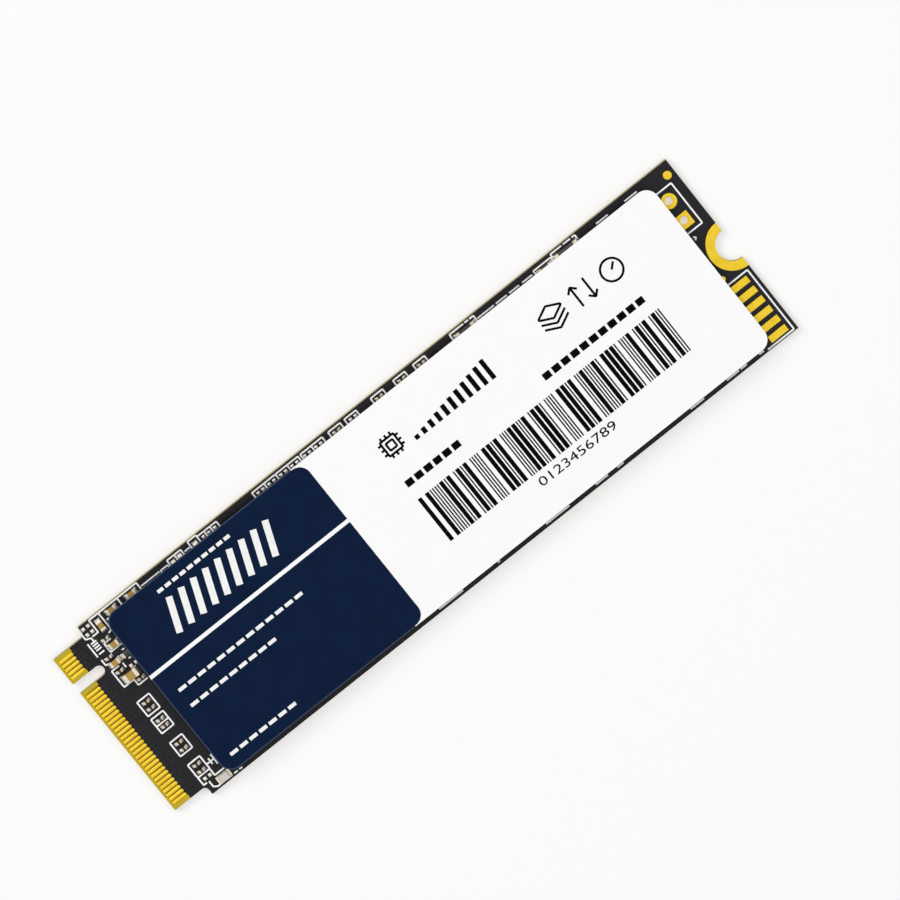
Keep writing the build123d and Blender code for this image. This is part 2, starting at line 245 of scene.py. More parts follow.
# %% Floor finish
floor_values = {"Base Color": (0.95, 0.95, 0.95, 1.0), "Roughness": 0.9, "Specular IOR Level": 0.1}
floor_white = 0.4           # share of plain white in the floor that is seen
close_to_floor = 0.2 * MM   # rays that start nearer than this pass through


def new_material(name, constants):
    """Material whose shader has these values on its own sockets."""
    material = bpy.data.materials.new(name)
    material.use_nodes = True
    tree = material.node_tree
    shader = tree.nodes["Principled BSDF"]
    for socket, value in constants.items():
        shader.inputs[socket].default_value = value
    return material, tree, shader


def make_floor_paper():
    material, tree, paper = new_material("floor_paper", floor_values)
    path = add(tree, "ShaderNodeLightPath").outputs
    seen = math_node(tree, "MAXIMUM", path["Is Camera Ray"], mirror_rays(tree, path))
    share = math_node(tree, "MULTIPLY", seen, floor_white)
    white = add(tree, "ShaderNodeEmission")
    surface = add(tree, "ShaderNodeMixShader", {0: share, 1: paper.outputs[0], 2: white.outputs[0]})
    clear = add(tree, "ShaderNodeBsdfTransparent")
    back = add(tree, "ShaderNodeNewGeometry").outputs["Backfacing"]
    close = math_node(tree, "LESS_THAN", path["Ray Length"], close_to_floor)
    passes = math_node(tree, "MAXIMUM", back, close)
    either = add(tree, "ShaderNodeMixShader", {0: passes, 1: surface.outputs[0], 2: clear.outputs[0]})
    tree.links.new(either.outputs[0], tree.nodes["Material Output"].inputs["Surface"])
    material.cycles.emission_sampling = "NONE"
    return material


floor_paper = make_floor_paper()
print("made", floor_paper.name)

# %% Lay the floor
floor_half = 2.0
floor_drop = 0.03 * MM

floor_mesh = bpy.data.meshes.new("floor")
floor_signs = ((-1, -1), (1, -1), (1, 1), (-1, 1))
floor_corners = [(x * floor_half, y * floor_half, -floor_drop) for x, y in floor_signs]
floor_mesh.from_pydata(floor_corners, [], [(0, 1, 2, 3)])
floor_mesh.materials.append(floor_paper)
floor = new_object("floor", floor_mesh)
print("floor side in m:", 2 * floor_half)

# %% [markdown]
# ## Effects that several finishes share
# Three effects come back in many materials. They could be copied from one to the next, but a node group
# with inputs of its own is built once and mended in one place. Grain mixes two shades in soft patches and
# roughens the surface in fine ones. Plating is grain for metal, with faint scratches along the card and
# with rounded edges that catch the light. Weave is the cloth of glass inside a circuit board.

# %% Group helpers
surface_inputs = [("Position", "Vector"), ("Color", "Color"), ("Patch Color", "Color")]
surface_outputs = [("Color", "Color"), ("Roughness", "Float"), ("Normal", "Vector")]


def shader_group(name, inputs, outputs):
    """New group with named sockets, and the sockets that bring its inputs."""
    group = bpy.data.node_groups.new(name, "ShaderNodeTree")
    for label, kind in inputs:
        group.interface.new_socket(label, in_out="INPUT", socket_type="NodeSocket" + kind)
    for label, kind in outputs:
        group.interface.new_socket(label, in_out="OUTPUT", socket_type="NodeSocket" + kind)
    return group, add(group, "NodeGroupInput").outputs


def floats(*labels):
    return [(label, "Float") for label in labels]


def noise(tree, position, scale, detail=2.0):
    inputs = {"Vector": position, "Scale": scale, "Detail": detail}
    return add(tree, "ShaderNodeTexNoise", inputs).outputs[0]


def swing(tree, pattern, spread, level):
    """Level that a pattern between zero and one moves up and down by half the spread."""
    offset = math_node(tree, "SUBTRACT", pattern, 0.5)
    return math_node(tree, "ADD", math_node(tree, "MULTIPLY", offset, spread), level)


print("surface outputs:", [label for label, kind in surface_outputs])

# %% Grain
patch_factor = 14.0         # soft patches are this many grains wide
grain_detail = 3.0
grain_blend = (0.3, 0.7)    # noise between which one shade turns into the other


def make_grain():
    inputs = surface_inputs + floats("Grain", "Roughness", "Roughness Spread", "Relief")
    group, given = shader_group("grain", inputs, surface_outputs)
    fine_scale = math_node(group, "DIVIDE", 1.0, given["Grain"])
    patch_scale = math_node(group, "DIVIDE", fine_scale, patch_factor)
    fine = noise(group, given["Position"], fine_scale, grain_detail)
    patch = noise(group, given["Position"], patch_scale)
    blend = map_range(group, patch, *grain_blend)
    color = mix_colors(group, blend, given["Color"], given["Patch Color"])
    rough = swing(group, fine, given["Roughness Spread"], given["Roughness"])
    bump = add(group, "ShaderNodeBump", {"Height": fine, "Distance": given["Relief"]})
    add(group, "NodeGroupOutput", {"Color": color, "Roughness": rough, "Normal": bump.outputs[0]})
    return group


grain = make_grain()
print("group:", grain.name)

# %% Plating
plating_detail = 4.0
plating_blend = (0.35, 0.75)
scratch_stretch = 40.0      # scratches are this many times longer than wide
scratch_spread = 0.3        # how much they change the roughness
edge_samples = 6


def make_plating():
    inputs = surface_inputs + floats("Patch", "Roughness", "Scratch Relief", "Edge")
    group, given = shader_group("plating", inputs, surface_outputs)
    scale = math_node(group, "DIVIDE", 1.0, given["Patch"])
    patch = noise(group, given["Position"], scale, plating_detail)
    blend = map_range(group, patch, *plating_blend)
    color = mix_colors(group, blend, given["Color"], given["Patch Color"])
    stretch = (1.0, scratch_stretch, scratch_stretch)
    stretched = add(group, "ShaderNodeMapping", {"Vector": given["Position"], "Scale": stretch})
    lines = noise(group, stretched.outputs[0], scale)
    rough = swing(group, lines, scratch_spread, given["Roughness"])
    soft_edge = add(group, "ShaderNodeBevel", {"Radius": given["Edge"]}, samples=edge_samples)
    relief = {"Height": lines, "Distance": given["Scratch Relief"], "Normal": soft_edge.outputs[0]}
    bump = add(group, "ShaderNodeBump", relief)
    add(group, "NodeGroupOutput", {"Color": color, "Roughness": rough, "Normal": bump.outputs[0]})
    return group


plating = make_plating()
print("group:", plating.name)

# %% Weave
layer_share = 0.5           # how much the layers of cloth add to its crossings


def make_weave():
    group, given = shader_group("weave", [("Position", "Vector"), ("Yarn", "Float")], floats("Mask"))
    turns = math_node(group, "DIVIDE", math.pi, given["Yarn"])
    waves = []
    for part in split_vector(group, given["Position"]):
        waves.append(math_node(group, "SINE", math_node(group, "MULTIPLY", part, turns)))
    crossings = math_node(group, "MULTIPLY", waves[0], waves[1])
    layers = math_node(group, "MULTIPLY", waves[2], layer_share)
    both = math_node(group, "ADD", crossings, layers)
    add(group, "NodeGroupOutput", {"Mask": map_range(group, both, -1.0, 1.0)})
    return group


weave = make_weave()
print("group:", weave.name)

# %% [markdown]
# ## Finishes
# Each finish is a Principled shader. What is the same all over a surface, such as how metallic it is, is
# set on the shader itself, and what varies comes from a group. Some finishes change the group's colour on
# its way to the shader, by the place on the card or by the way a face points. Everything reads Object
# coordinates, which are places on the card here, because every piece has its place in its mesh.

# %% Finish helpers
def use_group(tree, group, position, values):
    return add(tree, "ShaderNodeGroup", {"Position": position, **values}, node_tree=group).outputs


def new_finish(name, group, values, constants=None, recolor=None):
    """Material that wears a group's surface, with its colour changed by a function where one is given."""
    material, tree, shader = new_material(name, constants or {})
    position = add(tree, "ShaderNodeTexCoord").outputs["Object"]
    surface = use_group(tree, group, position, values)
    color = recolor(tree, position, surface["Color"]) if recolor else surface["Color"]
    tree.links.new(color, shader.inputs["Base Color"])
    tree.links.new(surface["Roughness"], shader.inputs["Roughness"])
    tree.links.new(surface["Normal"], shader.inputs["Normal"])
    return material


def opaque(color):
    return (*color, 1.0)


def rise_of_face(tree):
    """One where a face points up, zero where it is upright and minus one where it points down."""
    return split_vector(tree, add(tree, "ShaderNodeNewGeometry").outputs["True Normal"])[2]


print("finish helpers ready")

# %% Grained and plated finishes
plating_edge = 0.07 * MM    # radius at which plated edges look rounded


def grained(name, color, patch, grain_mm, roughness, spread, relief_mm, constants=None, recolor=None):
    values = {"Color": opaque(color), "Patch Color": opaque(patch), "Grain": grain_mm * MM}
    values.update({"Roughness": roughness, "Roughness Spread": spread, "Relief": relief_mm * MM})
    return new_finish(name, grain, values, constants, recolor)


def plated(name, color, patch, patch_mm, roughness, relief_mm, metallic=1.0):
    values = {"Color": opaque(color), "Patch Color": opaque(patch), "Patch": patch_mm * MM}
    values.update({"Roughness": roughness, "Scratch Relief": relief_mm * MM, "Edge": plating_edge})
    return new_finish(name, plating, values, {"Metallic": metallic})


print("plated edges in mm:", round(plating_edge / MM, 3))

# %% [markdown]
# ### Board
# The board is glass cloth in resin with a black coating on both faces. The coating stops short of the
# contacts and never covers the sawn edges, so the yellow laminate shows there. Between the contacts the
# laminate is darker with painted shade, deeper towards their inner ends, and the coating reaches in
# between their rounded ends. The faces could be sorted into several materials, but the coating ends in
# the middle of large faces. So one material does it all: it looks at which way a face points and how far
# along the card it lies.

# %% Bare laminate on the tongue
bare_margin = 0.02 * MM     # laminate that shows behind the contacts
gap_reach = 0.13 * MM       # how much earlier it ends in the gaps
key_slot_y = 6.125 * MM
key_gap_half = 1.0 * MM     # half of the stretch without contacts at the key slot


def between_fingers(tree, along, across):
    """One in the two stretches of the tongue that carry contacts."""
    from_key = math_node(tree, "ABSOLUTE", math_node(tree, "SUBTRACT", across, key_slot_y))
    off_key = math_node(tree, "GREATER_THAN", from_key, key_gap_half)
    in_row = math_node(tree, "LESS_THAN", math_node(tree, "ABSOLUTE", across), fingers_high.y)
    past_tip = math_node(tree, "GREATER_THAN", along, fingers_low.x)
    return math_node(tree, "MULTIPLY", math_node(tree, "MULTIPLY", off_key, in_row), past_tip)


def bare_tongue(tree, along, facing_up, gaps):
    """One where the coating stops short of the contacts, on the upper and on the lower face."""
    place = math_node(tree, "ADD", along, math_node(tree, "MULTIPLY", gaps, gap_reach))
    in_upper = math_node(tree, "LESS_THAN", place, fingers_high.x + bare_margin)
    in_lower = math_node(tree, "LESS_THAN", place, lower_fingers_high.x + bare_margin)
    above = math_node(tree, "GREATER_THAN", facing_up, 0.0)
    upper = math_node(tree, "MULTIPLY", above, in_upper)
    lower = math_node(tree, "MULTIPLY", math_node(tree, "SUBTRACT", 1.0, above), in_lower)
    return math_node(tree, "MAXIMUM", upper, lower)


print("bare up to x in mm:", round((fingers_high.x + bare_margin) / MM, 3))

# %% Board finish
coating = (0.0085, 0.0080, 0.0105)
coating_patch = (0.0115, 0.0110, 0.0140)
coating_grain = (0.05, 0.42, 0.25, 0.003)
coating_gloss = {"Specular IOR Level": 0.2}
laminate = (0.42, 0.34, 0.12)
laminate_yarn = (0.33, 0.26, 0.08)
yarn_width = 0.11 * MM
tongue_laminate = (0.52, 0.38, 0.010)
# painted shade between the contacts, lighter at their tips and deeper towards their inner ends
gap_shade_at_tip = (0.42, 0.235, 0.004)
gap_shade_inside = (0.24, 0.115, 0.004)
steep = 0.5                 # a face that rises less than this is a side


def bare_board(tree, position, coated):
    """The coating's colour, with bare laminate on the sawn edges and on the tongue."""
    yarn = use_group(tree, weave, position, {"Yarn": yarn_width})["Mask"]
    edge = mix_colors(tree, yarn, opaque(laminate), opaque(laminate_yarn))
    facing_up = rise_of_face(tree)
    upright = math_node(tree, "LESS_THAN", math_node(tree, "ABSOLUTE", facing_up), steep)
    parts = split_vector(tree, position)
    gaps = between_fingers(tree, parts[0], parts[1])
    # the painted shade in the gaps deepens from the tip towards the inner ends of the contacts
    inner = map_range(tree, parts[0], fingers_low.x, fingers_high.x)
    gap_shade_color = mix_colors(tree, inner, opaque(gap_shade_at_tip), opaque(gap_shade_inside))
    tongue = mix_colors(tree, gaps, opaque(tongue_laminate), gap_shade_color)
    bare = bare_tongue(tree, parts[0], facing_up, gaps)
    return mix_colors(tree, upright, mix_colors(tree, bare, coated, tongue), edge)


board_values = (coating, coating_patch, *coating_grain)
board_finish = grained("board_coating", *board_values, constants=coating_gloss, recolor=bare_board)
finishes = {"board": board_finish}
print("made", board_finish.name)

# %% [markdown]
# Where copper lies under it, the coating is thinner and a little paler. The upper face shows this
# faintly. The lower face has nothing else to show, and there the copper stands out more. Both are the
# board's coating in paler shades, so its grain and its gloss stay the same.

# %% Covered copper
copper_shades = {
    "covered_copper_above": ((0.0165, 0.0155, 0.0160), (0.0215, 0.0205, 0.0205)),
    "covered_copper_below": ((0.034, 0.032, 0.031), (0.043, 0.041, 0.039)),
}
coppers = []
for copper_name, shades in copper_shades.items():
    coppers.append(grained(copper_name, *shades, *coating_grain, constants=coating_gloss))
copper_above, copper_below = coppers
print("made", [copper.name for copper in coppers])

# %% [markdown]
# ### Metals
# Gold plating is a clear yellow with slightly redder patches. Tin and solder are pale and warm, and
# scatter more of the light, so they are given less than the full share of metal. Metal could be a mirror,
# but then it would show an empty room. Plating is a little rough, so that it takes the colour of the soft
# light all round. A row gives the two shades, the width of a patch, the roughness and the relief of the
# scratches.

# %% Metal finishes
matte_metal = 0.7
metals = {
    "gold": ("gold_plating", (0.95, 0.68, 0.05), (0.85, 0.56, 0.028), 0.9, 0.34, 0.002),
    "solder": ("solder", (0.88, 0.86, 0.80), (0.62, 0.60, 0.54), 0.35, 0.36, 0.002, matte_metal),
    "tinned_end": ("tinned_ends", (0.87, 0.81, 0.66), (0.72, 0.65, 0.50), 0.3, 0.42, 0.002, matte_metal),
    "crystal_lid": ("crystal_lid", (0.66, 0.62, 0.53), (0.56, 0.52, 0.44), 0.6, 0.3, 0.001),
}
for slot, values in metals.items():
    finishes[slot] = plated(*values)
print("metals:", list(metals))

# %% [markdown]
# ### Ceramic, resin and pressed powder
# Chips are moulded resin, dark and finely speckled, and inductors are pressed metal powder. The two large
# parts along the edge are of dark ceramic, and the light has a milky lens. Each could have nodes of its
# own, but what sets them apart is only how dark, how coarse and how rough they are, so the grain group
# makes them all. A row gives the two shades, the width of a grain, the roughness, how much that varies,
# and the relief.

# %% Plain ceramic and resin
plain_bodies = {
    "chip_mould": ("moulded_resin", (0.018, 0.018, 0.020), (0.028, 0.028, 0.030), 0.05, 0.6, 0.3, 0.006),
    "inductor_body": ("pressed_powder", (0.075, 0.075, 0.08), (0.12, 0.12, 0.125), 0.08, 0.65, 0.3, 0.012),
    "crystal_base": ("dark_ceramic", (0.10, 0.085, 0.075), (0.14, 0.12, 0.105), 0.04, 0.5, 0.2, 0.004),
    "dark_body": ("dark_fired_ceramic", (0.04, 0.034, 0.026), (0.065, 0.055, 0.042), 0.03, 0.5, 0.3, 0.004),
}
for slot, values in plain_bodies.items():
    finishes[slot] = grained(*values)
lens_values = ((0.66, 0.63, 0.58), (0.55, 0.52, 0.46), 0.06, 0.28, 0.15, 0.003)
finishes["led_lens"] = grained("milky_resin", *lens_values, constants={"Coat Weight": 0.4})
print("plain bodies:", [*plain_bodies, "led_lens"])

# %% [markdown]
# Capacitors are fired brown ceramic with a dry, dusty surface. Low down they are darker: the tiny ones
# are dark brown all over, and on the taller ones the dark foot is painted shade near the board. Those at
# the far end are of a darker grade. A resistor is white ceramic with a black glaze on top, and the base
# of the light is white laminate with its cloth showing through. A painted picture could hold such
# differences, but the height, the place and the way a face points are enough to tell them apart.

# %% Capacitor finish
ceramic_values = ((0.47, 0.28, 0.05), (0.36, 0.215, 0.045), 0.03, 0.55, 0.3, 0.004)
# dark brown of the tiny capacitors, and painted shade on the lower sides of the taller ones
dark_ceramic_and_foot_shade = (0.085, 0.048, 0.018)
dark_and_shade_top = board_top + 0.34 * MM    # the tiny capacitors are no higher, so they are dark all over
unshaded_from = board_top + 0.42 * MM
dark_grade = (0.072, 0.042, 0.027)
dark_grade_from = 20.0 * MM


# below a height the colour is darker: the tiny capacitors' own dark brown, and painted shade on the taller
# ones' lower sides
def grade_and_shade_ceramic(tree, position, color):
    parts = split_vector(tree, position)
    above_foot_shade = map_range(tree, parts[2], dark_and_shade_top, unshaded_from)
    far = math_node(tree, "GREATER_THAN", parts[0], dark_grade_from)
    body = mix_colors(tree, far, color, opaque(dark_grade))
    return mix_colors(tree, above_foot_shade, opaque(dark_ceramic_and_foot_shade), body)


finishes["capacitor_ceramic"] = grained("brown_ceramic", *ceramic_values, recolor=grade_and_shade_ceramic)
print("stained up to mm:", round(dark_and_shade_top / MM, 3))

# %% Resistor and light
glaze_values = ((0.016, 0.016, 0.018), (0.03, 0.03, 0.032), 0.03, 0.35, 0.2, 0.002)
resistor_side = (0.66, 0.65, 0.62)
led_values = ((0.70, 0.67, 0.58), (0.60, 0.57, 0.46), 0.03, 0.5, 0.2, 0.002)
led_yarn = (0.52, 0.48, 0.36)
led_yarn_width = 0.1 * MM


def bare_sides(tree, position, color):
    side = math_node(tree, "LESS_THAN", rise_of_face(tree), steep)
    return mix_colors(tree, side, color, opaque(resistor_side))


def show_cloth(tree, position, color):
    yarn = use_group(tree, weave, position, {"Yarn": led_yarn_width})["Mask"]
    return mix_colors(tree, yarn, color, opaque(led_yarn))


finishes["resistor_body"] = grained("glazed_resistor", *glaze_values, recolor=bare_sides)
finishes["led_base"] = grained("white_laminate", *led_values, recolor=show_cloth)
print("finishes so far:", len(finishes))

# %% [markdown]
# ### Label film and ink
# The label is white film with ink printed on it. The blue ink covers the film almost to its rim, where
# the cut edge shows as a paler blue line. That rim could be a piece of its own, but it is the same film,
# and its material can find it by place. The white stripe is bare film, so only what lies beside the blue
# field and off the stripe takes the rim's colour.

# %% Label film
film_values = ((0.972, 0.972, 0.972), (0.957, 0.957, 0.962), 0.12, 0.45, 0.15, 0.001)
film_gloss = {"Specular IOR Level": 0.3}
blue_rim = (0.034, 0.056, 0.11)
field_corner = 1.4 * MM
stripe_half = 0.24 * MM
stripe_y = 2.55 * MM


def tint_rim(tree, position, color):
    parts = split_vector(tree, position)
    beside_blue = math_node(tree, "LESS_THAN", parts[0], blue_high.x - field_corner)
    from_stripe = math_node(tree, "ABSOLUTE", math_node(tree, "SUBTRACT", parts[1], stripe_y))
    off_stripe = math_node(tree, "GREATER_THAN", from_stripe, stripe_half)
    rim = math_node(tree, "MULTIPLY", beside_blue, off_stripe)
    return mix_colors(tree, rim, color, opaque(blue_rim))


finishes["label_white"] = grained("label_film", *film_values, constants=film_gloss, recolor=tint_rim)
print("made", finishes["label_white"].name)

# %% Inks
blue_values = ((0.0030, 0.0110, 0.0390), (0.0040, 0.0135, 0.0455), 0.15, 0.5, 0.15, 0.001)
black_values = ((0.0015, 0.0015, 0.0017), (0.003, 0.003, 0.0034), 0.05, 0.5, 0.2, 0.001)
white_values = ((0.94, 0.94, 0.93), (0.86, 0.86, 0.85), 0.05, 0.55, 0.2, 0.003)
black_ink = grained("black_ink", *black_values, constants={"Specular IOR Level": 0.02})
white_ink = grained("outline_ink", *white_values)
finishes["label_blue"] = grained("blue_ink", *blue_values, constants={"Specular IOR Level": 0.03})
finishes["label_ink"] = black_ink
print("finishes for nodes:", len(finishes))

# %% [markdown]
# ### Dress the solids
# Each node of the card names the kind of surface that it has. The finishes could be given out one by one,
# but they go by the same names, so a loop can do it. Only two dark bodies are picked out by their own
# names, because other parts of their kind look different.

# %% Give out the finishes
dark_bodies = ("bulk_capacitor_bodies", "sense_resistor_bodies")
subparts = frame["record"]["subparts"]
for row in subparts:
    finish = "dark_body" if row["node"] in dark_bodies else row["material_slot"]
    materials = nodes[row["node"]].data.materials
    materials.clear()
    materials.append(finishes[finish])
print("dressed", len(subparts), "nodes")

# %% [markdown]
# ## Pieces grown by Geometry Nodes
# Contacts, outlines, domes and holes come in rows and along paths. A loop could copy an object for each,
# but a node tree describes such a thing once and then grows it: a pattern on points, or a ribbon along
# paths. Each tree takes its sizes as named inputs. The result is kept as a plain mesh, so nothing is left
# to compute.

# %% Tree helpers
def geometry_tree(name, inputs):
    tree = bpy.data.node_groups.new(name, "GeometryNodeTree")
    for label, kind in [("Geometry", "Geometry"), *inputs]:
        tree.interface.new_socket(label, in_out="INPUT", socket_type="NodeSocket" + kind)
    tree.interface.new_socket("Geometry", in_out="OUTPUT", socket_type="NodeSocketGeometry")
    return tree, add(tree, "NodeGroupInput").outputs


def copies_on(tree, points, shape):
    info = add(tree, "GeometryNodeObjectInfo", {"Object": shape, "As Instance": True})
    inputs = {"Points": points, "Instance": info.outputs["Geometry"]}
    return add(tree, "GeometryNodeInstanceOnPoints", inputs).outputs[0]


def end_tree(tree, geometry, material):
    whole = add(tree, "GeometryNodeRealizeInstances", {0: geometry})
    inked = add(tree, "GeometryNodeSetMaterial", {"Geometry": whole.outputs[0], "Material": material})
    add(tree, "NodeGroupOutput", {0: inked.outputs[0]})


print("tree helpers ready")

# %% Piece helpers
def plain_mesh(name, source):
    """Plain mesh of an object as it stands after its modifiers. The object itself is removed."""
    depsgraph = bpy.context.evaluated_depsgraph_get()
    mesh = bpy.data.meshes.new_from_object(source.evaluated_get(depsgraph), depsgraph=depsgraph)
    mesh.name = name
    bpy.data.objects.remove(source)
    return mesh


def grow(name, source_mesh, tree, values):
    """Run a tree on a mesh, with its inputs set by name, and return the plain mesh that comes out."""
    source = new_object(name + "_source", source_mesh)
    modifier = source.modifiers.new("nodes", "NODES")
    modifier.node_group = tree
    for item in tree.interface.items_tree:
        if item.in_out == "INPUT" and item.name in values:
            modifier[item.identifier] = values[item.name]
    return plain_mesh(name, source)


def keep_piece(name, mesh, slot, *stands_for):
    """Make a finished piece of a mesh that is already in its place."""
    piece = new_object(name, mesh)
    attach(piece, "root")
    if stands_for:
        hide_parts(*stands_for)
    print(name, "faces:", len(mesh.polygons))


print("piece helpers ready")

# %% [markdown]
# ### Shapes made of rings
# Contacts, solder domes and covered holes could be cut from blocks, but they are all one kind of shape: a
# stack of closed rings, each with the same number of points. One helper joins the rings and closes the
# stack at its foot and top, so every shape has only the faces that it needs. A shape for the lower face
# is the same one turned over, with its faces turned outwards again.

# %% Ring helpers
def ring_stack(name, rings, smooth=True):
    """Closed shape of stacked rings, each drawn to the left about its middle, from the foot to the top."""
    work = bmesh.new()
    loops = [[work.verts.new(point) for point in ring] for ring in rings]
    count = len(loops[0])
    for lower, upper in zip(loops, loops[1:]):
        for i in range(count):
            j = (i + 1) % count
            work.faces.new((lower[i], lower[j], upper[j], upper[i])).smooth = smooth
    work.faces.new(loops[-1])
    work.faces.new(list(reversed(loops[0])))
    mesh = bpy.data.meshes.new(name)
    work.to_mesh(mesh)
    work.free()
    return mesh


def round_ring(radius, height, steps, squareness=2.0):
    """Points round a circle, or round a square with soft corners where the squareness is above two."""
    points = []
    for step in range(steps):
        angle = 2 * math.pi * step / steps
        x, y = math.cos(angle), math.sin(angle)
        reach = radius / (abs(x) ** squareness + abs(y) ** squareness) ** (1 / squareness)
        points.append((x * reach, y * reach, height))
    return points


def turn_over(mesh):
    mesh.transform(Matrix.Diagonal((1.0, 1.0, -1.0, 1.0)))
    mesh.flip_normals()


print("corner of a soft square:", [round(part, 2) for part in round_ring(1.0, 0.0, 8, 4.0)[1]])

# %% [markdown]
# ### Gold contacts
# A contact is a flat copper finger, plated with gold, whose edges are rounded by the plating. The
# rounding is what catches the light. A Bevel modifier could round the solid fingers, but it would round
# their foot on the board as well. So they are replaced by fingers with a sloped edge all round, in the
# same place and of the same size. The tree lays one finger at every spacing and leaves out those in the
# key slot.

# %% Finger shape
finger_width = 0.35 * MM
edge_slope = 0.085 * MM
arc_steps = 8
finger_profile = [(0.0, 0.0), (0.3, 0.0), (0.8, 0.4), (1.0, 1.0)]    # share of the height, and of the slope


def finger_ring(length, inset, height):
    """Outline of a finger from its tip, with a half-round inner end, drawn in by an inset."""
    reach = finger_width / 2 - inset
    points = [(inset, reach, height), (inset, -reach, height)]
    for step in range(arc_steps + 1):
        angle = math.pi * step / arc_steps - math.pi / 2
        end = length - finger_width / 2 + reach * math.cos(angle)
        points.append((end, reach * math.sin(angle), height))
    return points


def finger_mesh(length, height):
    rings = [finger_ring(length, inward * edge_slope, rise * height) for rise, inward in finger_profile]
    return ring_stack("finger", rings, smooth=False)


finger_size = fingers_high - fingers_low
print("finger faces:", len(finger_mesh(finger_size.x, finger_size.z).polygons))

# %% Finger tree
def make_finger_tree():
    inputs = [("Finger", "Object"), ("Count", "Int"), ("Start", "Vector")]
    inputs += floats("Spacing", "Gap From", "Gap To")
    tree, given = geometry_tree("finger_row", inputs)
    step = add(tree, "ShaderNodeCombineXYZ", {1: given["Spacing"]})
    row = {"Count": given["Count"], "Start Location": given["Start"], "Offset": step.outputs[0]}
    line = add(tree, "GeometryNodeMeshLine", row)
    across = split_vector(tree, add(tree, "GeometryNodeInputPosition").outputs[0])[1]
    past = math_node(tree, "GREATER_THAN", across, given["Gap From"])
    short = math_node(tree, "LESS_THAN", across, given["Gap To"])
    inside = math_node(tree, "MULTIPLY", past, short)
    kept = add(tree, "GeometryNodeDeleteGeometry", {"Geometry": line.outputs[0], "Selection": inside})
    end_tree(tree, copies_on(tree, kept.outputs[0], given["Finger"]), finishes["gold"])
    return tree


finger_tree = make_finger_tree()
print("finger tree nodes:", len(finger_tree.nodes))

# %% Grow the two rows
finger_spacing = 0.5 * MM


def grow_fingers(name, low, high, faces_up):
    mesh = finger_mesh(high.x - low.x, high.z - low.z)
    if not faces_up:
        turn_over(mesh)
    pattern = new_object("finger_pattern", mesh)
    start = (low.x, low.y + finger_width / 2, low.z if faces_up else high.z)
    count = round((high.y - low.y - finger_width) / finger_spacing) + 1
    values = {"Finger": pattern, "Count": count, "Start": start, "Spacing": finger_spacing}
    values.update({"Gap From": key_slot_y - key_gap_half, "Gap To": key_slot_y + key_gap_half})
    grown = grow(name, bpy.data.meshes.new("seed"), finger_tree, values)
    bpy.data.objects.remove(pattern)
    return grown


upper_row = grow_fingers("contact_fingers_top", fingers_low, fingers_high, True)
keep_piece("contact_fingers_top", upper_row, "gold", "edge_contacts_top")
lower_row = grow_fingers("contact_fingers_bottom", lower_fingers_low, lower_fingers_high, False)
keep_piece("contact_fingers_bottom", lower_row, "gold", "edge_contacts_bottom")

# %% [markdown]
# ### Ribbons along paths
# The white outlines on the board, its covered tracks and the line drawings on the label are all the same
# thing: a flat ribbon along a path, with rounded corners. Curve objects could draw them, but a tree takes
# plain edges and gives each piece its own width, thickness and rounding. Paths are written as points in
# millimetres on the board. The tree rounds the corners and sweeps a flat profile along them. Paths that
# cross get levels of their own, a hair apart, so that no two faces lie in one plane.

# %% Ribbon tree
corner_points = 4


def make_ribbon_tree(name, material):
    tree, given = geometry_tree(name, floats("Width", "Thickness", "Corner"))
    path = add(tree, "GeometryNodeMeshToCurve", {"Mesh": given["Geometry"]})
    fillet = {"Curve": path.outputs[0], "Radius": given["Corner"]}
    fillet.update({"Count": corner_points, "Limit Radius": True})
    rounded = add(tree, "GeometryNodeFilletCurve", fillet, mode="POLY")
    level = add(tree, "GeometryNodeSetCurveNormal", {"Curve": rounded.outputs[0]}, mode="Z_UP")
    sides = {"Width": given["Width"], "Height": given["Thickness"]}
    profile = add(tree, "GeometryNodeCurvePrimitiveQuadrilateral", sides)
    sweep = {"Curve": level.outputs[0], "Profile Curve": profile.outputs[0], "Fill Caps": True}
    ribbon = add(tree, "GeometryNodeCurveToMesh", sweep)
    flat = add(tree, "GeometryNodeSetShadeSmooth", {"Geometry": ribbon.outputs[0], "Shade Smooth": False})
    end_tree(tree, flat.outputs[0], material)
    return tree


print("corner points:", corner_points)

# %% Paths
level_count = 5
level_step = 0.0008 * MM


def box_path(x0, x1, y0, y1):
    return [(x0, y0), (x1, y0), (x1, y1), (x0, y1)], True


def line_path(*points):
    return list(points), False


def path_mesh(paths, height):
    """Edges along each path. A path is its points, and whether it closes."""
    verts, edges = [], []
    for index, (points, closes) in enumerate(paths):
        first = len(verts)
        level = height + index % level_count * level_step
        verts += [(x * MM, y * MM, level) for x, y in points]
        edges += [(first + i, first + i + 1) for i in range(len(points) - 1)]
        if closes:
            edges.append((len(verts) - 1, first))
    mesh = bpy.data.meshes.new("paths")
    mesh.from_pydata(verts, edges, [])
    return mesh


def lay_ribbons(name, slot, material, paths, base, width_mm, thickness_mm, corner_mm=0.0):
    """Piece of ribbons along paths, which lie on a base height."""
    tree = make_ribbon_tree(name + "_tree", material)
    mesh = path_mesh(paths, base + thickness_mm * MM / 2)
    values = {"Width": width_mm * MM, "Thickness": thickness_mm * MM, "Corner": corner_mm * MM}
    keep_piece(name, grow(name, mesh, tree, values), slot)


print("levels of crossing paths:", level_count)

# %% [markdown]
# ### White outlines on the board
# Every part on the board stands in a printed outline. On the data lanes these are boxes, along the edge
# they are a row of boxes that runs under the label, and in the corner beside the key slot they are open
# angles. They could be painted by the board's material, but as ribbons they keep their crisp edges and
# their thin relief at any distance.

# %% Outlines of the data lanes and the light
lane_left, lane_right = -36.12, -34.58
lane_rows = [(1.2, -0.62), (-1.08, -2.88), (-4.15, -5.92), (-7.08, -8.75)]
light_line = -10.71

